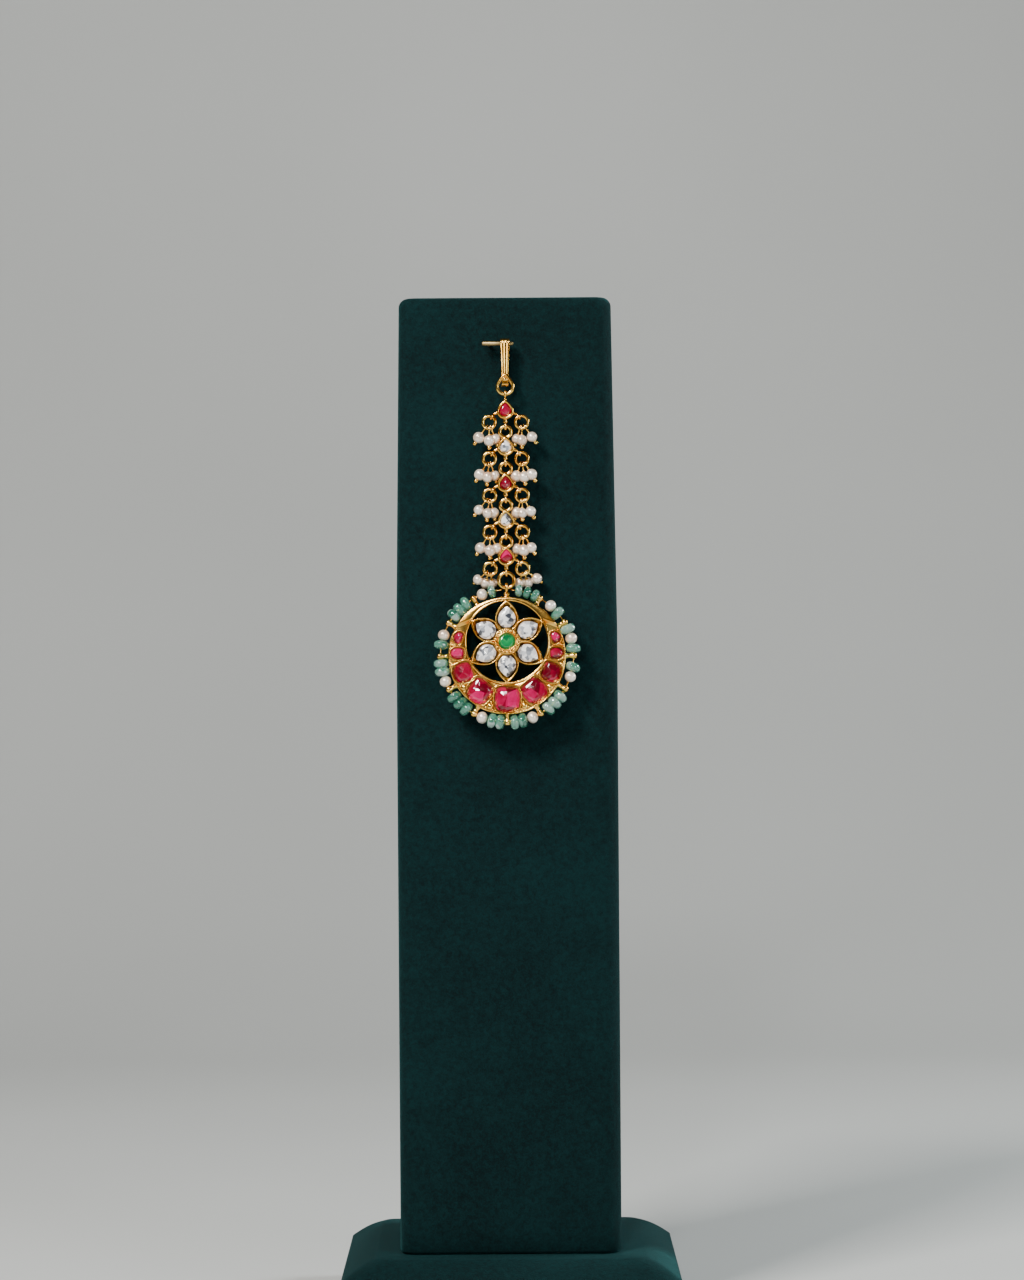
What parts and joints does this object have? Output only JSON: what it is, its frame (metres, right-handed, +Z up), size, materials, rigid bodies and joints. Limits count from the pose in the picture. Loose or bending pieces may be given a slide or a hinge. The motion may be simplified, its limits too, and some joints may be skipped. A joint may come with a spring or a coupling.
{
  "type": "maang tikka on display stand",
  "caption": "Maang tikka with ruby crescent, petal flower, bead rim and pearl-hung chain of five pear links, hooked over a pin in a velvet display block.",
  "frame": {"origin": "centre of the stand's underside", "axes": "+Z up, +X to the viewer's right, +Y away from the viewer"},
  "size_m": [0.093, 0.09, 0.2815],
  "materials": {
    "velvet": "short-pile velvet",
    "pin_brass": "dull",
    "gold_plate": "satin gold plate",
    "pearl": "pearl lustre",
    "ruby": "polished",
    "white_stone": "polished",
    "green_stone": "polished",
    "emerald_bead": "polished"
  },
  "bodies": {
    "stand_and_chain": {"stand_base": "velvet", "stand_tower": "velvet", "display_pin": "pin_brass", "hook": "gold_plate", "pendant_ring": "gold_plate", "pear_link_1": "gold_plate", "pear_stone_1": "ruby", "side_ring_left_1": "gold_plate", "pearl_drops_left_1": "pearl", "side_ring_right_1": "gold_plate", "pearl_drops_right_1": "pearl", "pear_link_2": "gold_plate", "pear_stone_2": "white_stone", "side_ring_left_2": "gold_plate", "pearl_drops_left_2": "pearl", "side_ring_right_2": "gold_plate", "pearl_drops_right_2": "pearl", "pear_link_3": "gold_plate", "pear_stone_3": "ruby", "side_ring_left_3": "gold_plate", "pearl_drops_left_3": "pearl", "side_ring_right_3": "gold_plate", "pearl_drops_right_3": "pearl", "pear_link_4": "gold_plate", "pear_stone_4": "white_stone", "side_ring_left_4": "gold_plate", "pearl_drops_left_4": "pearl", "side_ring_right_4": "gold_plate", "pearl_drops_right_4": "pearl", "pear_link_5": "gold_plate", "pear_stone_5": "ruby", "side_ring_left_5": "gold_plate", "pearl_drops_left_5": "pearl", "side_ring_right_5": "gold_plate", "pearl_drops_right_5": "pearl"},
    "pendant": {"pendant_frame": "gold_plate", "petal_stone_1": "white_stone", "petal_stone_2": "white_stone", "petal_stone_3": "white_stone", "petal_stone_4": "white_stone", "petal_stone_5": "white_stone", "petal_stone_6": "white_stone", "centre_stone": "green_stone", "ruby_1": "ruby", "ruby_2": "ruby", "ruby_3": "ruby", "ruby_4": "ruby", "ruby_5": "ruby", "ruby_6": "ruby", "ruby_7": "ruby", "ruby_8": "ruby", "ruby_9": "ruby", "bead_string_left": "emerald_bead", "bead_string_right": "emerald_bead"}
  },
  "joints": [
    {"name": "pendant_swing", "type": "hinge", "parent": "stand_and_chain", "child": "pendant", "pos_m": [0, -0.0334, 0.20133], "axis": [-1, 0, 0], "range_deg": [0, 60]}
  ]
}
